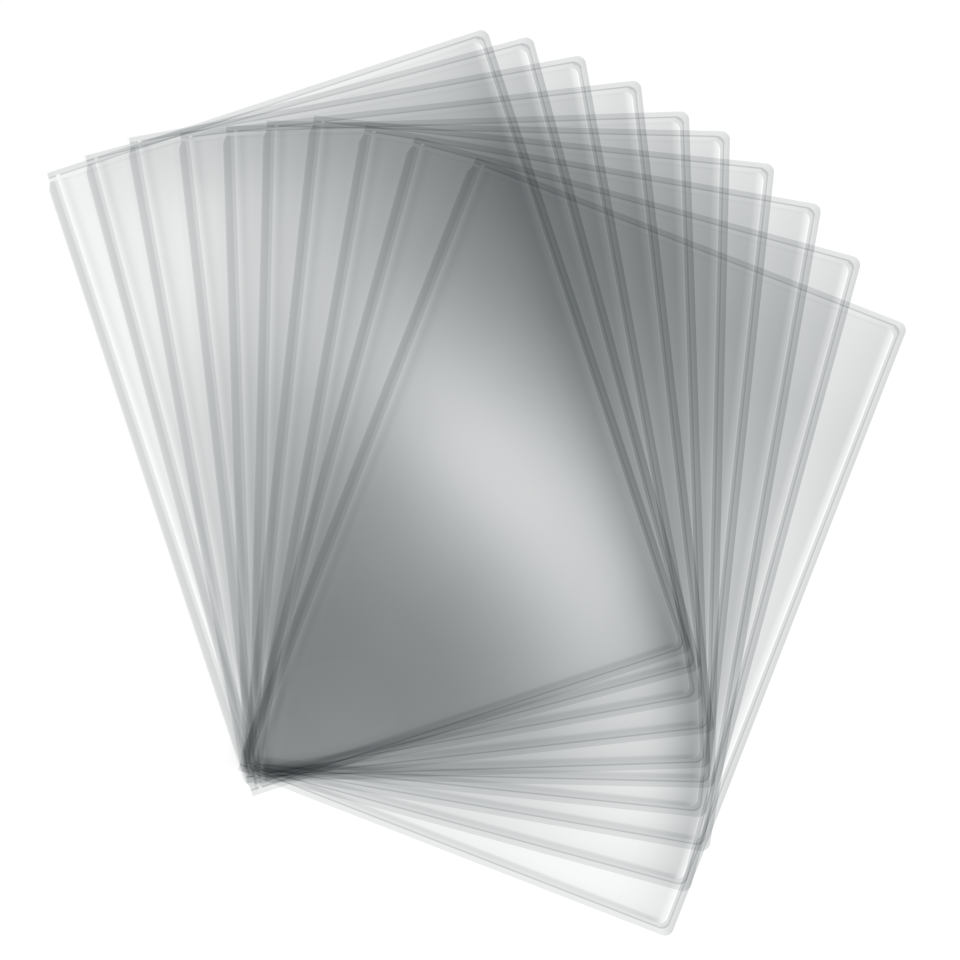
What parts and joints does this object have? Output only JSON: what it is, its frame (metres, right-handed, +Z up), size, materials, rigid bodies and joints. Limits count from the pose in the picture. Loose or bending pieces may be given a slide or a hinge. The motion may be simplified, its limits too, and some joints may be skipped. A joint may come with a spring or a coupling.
{
  "type": "clear exercise book cover set",
  "caption": "Fan of clear welded film slip covers for A4 exercise books, each with a folded spine and an inner pocket in both halves.",
  "frame": {"origin": "the point that the covers are fanned about, on the face that the set rests on, about 24 mm inside the lowest cover's fold and 10 mm above its foot edge", "axes": "+Z up, out of the top cover's front; +Y from the foot of the fan to its head; +X to the right, away from the folds"},
  "size_m": [0.3998, 0.4214, 0.0138],
  "materials": {
    "clear_sheet": "clear, glossy, slightly wavy film",
    "clear_pocket": "clear, glossy film",
    "clear_fold": "clear, glossy film, darker where it is creased"
  },
  "bodies": {
    "cover_01_back": {"cover_01_back_sheet": "clear_sheet", "cover_01_back_pocket": "clear_pocket", "cover_01_spine_fold": "clear_fold"},
    "cover_01_front": {"cover_01_front_pocket": "clear_pocket", "cover_01_front_sheet": "clear_sheet"},
    "cover_02_back": {"cover_02_back_sheet": "clear_sheet", "cover_02_back_pocket": "clear_pocket", "cover_02_spine_fold": "clear_fold"},
    "cover_02_front": {"cover_02_front_pocket": "clear_pocket", "cover_02_front_sheet": "clear_sheet"},
    "cover_03_back": {"cover_03_back_sheet": "clear_sheet", "cover_03_back_pocket": "clear_pocket", "cover_03_spine_fold": "clear_fold"},
    "cover_03_front": {"cover_03_front_pocket": "clear_pocket", "cover_03_front_sheet": "clear_sheet"},
    "cover_04_back": {"cover_04_back_sheet": "clear_sheet", "cover_04_back_pocket": "clear_pocket", "cover_04_spine_fold": "clear_fold"},
    "cover_04_front": {"cover_04_front_pocket": "clear_pocket", "cover_04_front_sheet": "clear_sheet"},
    "cover_05_back": {"cover_05_back_sheet": "clear_sheet", "cover_05_back_pocket": "clear_pocket", "cover_05_spine_fold": "clear_fold"},
    "cover_05_front": {"cover_05_front_pocket": "clear_pocket", "cover_05_front_sheet": "clear_sheet"},
    "cover_06_back": {"cover_06_back_sheet": "clear_sheet", "cover_06_back_pocket": "clear_pocket", "cover_06_spine_fold": "clear_fold"},
    "cover_06_front": {"cover_06_front_pocket": "clear_pocket", "cover_06_front_sheet": "clear_sheet"},
    "cover_07_back": {"cover_07_back_sheet": "clear_sheet", "cover_07_back_pocket": "clear_pocket", "cover_07_spine_fold": "clear_fold"},
    "cover_07_front": {"cover_07_front_pocket": "clear_pocket", "cover_07_front_sheet": "clear_sheet"},
    "cover_08_back": {"cover_08_back_sheet": "clear_sheet", "cover_08_back_pocket": "clear_pocket", "cover_08_spine_fold": "clear_fold"},
    "cover_08_front": {"cover_08_front_pocket": "clear_pocket", "cover_08_front_sheet": "clear_sheet"},
    "cover_09_back": {"cover_09_back_sheet": "clear_sheet", "cover_09_back_pocket": "clear_pocket", "cover_09_spine_fold": "clear_fold"},
    "cover_09_front": {"cover_09_front_pocket": "clear_pocket", "cover_09_front_sheet": "clear_sheet"},
    "cover_10_back": {"cover_10_back_sheet": "clear_sheet", "cover_10_back_pocket": "clear_pocket", "cover_10_spine_fold": "clear_fold"},
    "cover_10_front": {"cover_10_front_pocket": "clear_pocket", "cover_10_front_sheet": "clear_sheet"}
  },
  "joints": [
    {"name": "cover_01_fold", "type": "hinge", "parent": "cover_01_back", "child": "cover_01_front", "pos_m": [-0.06747, 0.12846, 0.0006], "axis": [0.314, -0.9494, 0], "range_deg": [0, 15]},
    {"name": "cover_02_swing", "type": "hinge", "parent": "cover_01_front", "child": "cover_02_back", "pos_m": [0.03606, -0.03636, 0.0013], "axis": [0, 0, 1], "range_deg": [-5, 3.25]},
    {"name": "cover_02_fold", "type": "hinge", "parent": "cover_02_back", "child": "cover_02_front", "pos_m": [-0.05796, 0.13406, 0.002], "axis": [0.2597, -0.9657, 0], "range_deg": [0, 15]},
    {"name": "cover_03_swing", "type": "hinge", "parent": "cover_02_front", "child": "cover_03_back", "pos_m": [0.01332, 0.03641, 0.0027], "axis": [0, 0, 1], "range_deg": [-5, 4.7]},
    {"name": "cover_03_fold", "type": "hinge", "parent": "cover_03_back", "child": "cover_03_front", "pos_m": [-0.04972, 0.13958, 0.0034], "axis": [0.1797, -0.9837, 0], "range_deg": [0, 15]},
    {"name": "cover_04_swing", "type": "hinge", "parent": "cover_03_front", "child": "cover_04_back", "pos_m": [-0.02872, -0.06499, 0.0041], "axis": [0, 0, 1], "range_deg": [-5, 3.85]},
    {"name": "cover_04_fold", "type": "hinge", "parent": "cover_04_back", "child": "cover_04_front", "pos_m": [-0.03594, 0.14052, 0.0048], "axis": [0.1132, -0.9936, 0], "range_deg": [0, 15]},
    {"name": "cover_05_swing", "type": "hinge", "parent": "cover_04_front", "child": "cover_05_back", "pos_m": [-0.00807, 0.03144, 0.0055], "axis": [0, 0, 1], "range_deg": [-5, 4.65]},
    {"name": "cover_05_fold", "type": "hinge", "parent": "cover_05_back", "child": "cover_05_front", "pos_m": [-0.027, 0.14242, 0.0062], "axis": [0.0323, -0.9995, 0], "range_deg": [0, 15]},
    {"name": "cover_06_swing", "type": "hinge", "parent": "cover_05_front", "child": "cover_06_back", "pos_m": [0.02387, -0.04559, 0.0069], "axis": [0, 0, 1], "range_deg": [-5, 3.2]},
    {"name": "cover_06_fold", "type": "hinge", "parent": "cover_06_back", "child": "cover_06_front", "pos_m": [-0.01643, 0.14497, 0.0076], "axis": [-0.0236, -0.9997, 0], "range_deg": [0, 15]},
    {"name": "cover_07_swing", "type": "hinge", "parent": "cover_06_front", "child": "cover_07_back", "pos_m": [0.02507, 0.03184, 0.0083], "axis": [0, 0, 1], "range_deg": [-5, 4.7]},
    {"name": "cover_07_fold", "type": "hinge", "parent": "cover_07_back", "child": "cover_07_front", "pos_m": [-0.00702, 0.14799, 0.009], "axis": [-0.1054, -0.9944, 0], "range_deg": [0, 15]},
    {"name": "cover_08_swing", "type": "hinge", "parent": "cover_07_front", "child": "cover_08_back", "pos_m": [-0.04413, -0.05376, 0.0097], "axis": [0, 0, 1], "range_deg": [-5, 3.9]},
    {"name": "cover_08_fold", "type": "hinge", "parent": "cover_08_back", "child": "cover_08_front", "pos_m": [0.00662, 0.145, 0.0104], "axis": [-0.1728, -0.985, 0], "range_deg": [0, 15]},
    {"name": "cover_09_swing", "type": "hinge", "parent": "cover_08_front", "child": "cover_09_back", "pos_m": [-0.01608, 0.04507, 0.0111], "axis": [0, 0, 1], "range_deg": [-5, 5.3]},
    {"name": "cover_09_fold", "type": "hinge", "parent": "cover_09_back", "child": "cover_09_front", "pos_m": [0.01575, 0.14248, 0.0118], "axis": [-0.263, -0.9648, 0], "range_deg": [0, 15]},
    {"name": "cover_10_swing", "type": "hinge", "parent": "cover_09_front", "child": "cover_10_back", "pos_m": [-0.02078, 0.01316, 0.0125], "axis": [0, 0, 1], "range_deg": [-5, 6]},
    {"name": "cover_10_fold", "type": "hinge", "parent": "cover_10_back", "child": "cover_10_front", "pos_m": [0.02907, 0.13795, 0.0132], "axis": [-0.3624, -0.932, 0], "range_deg": [0, 180]}
  ]
}
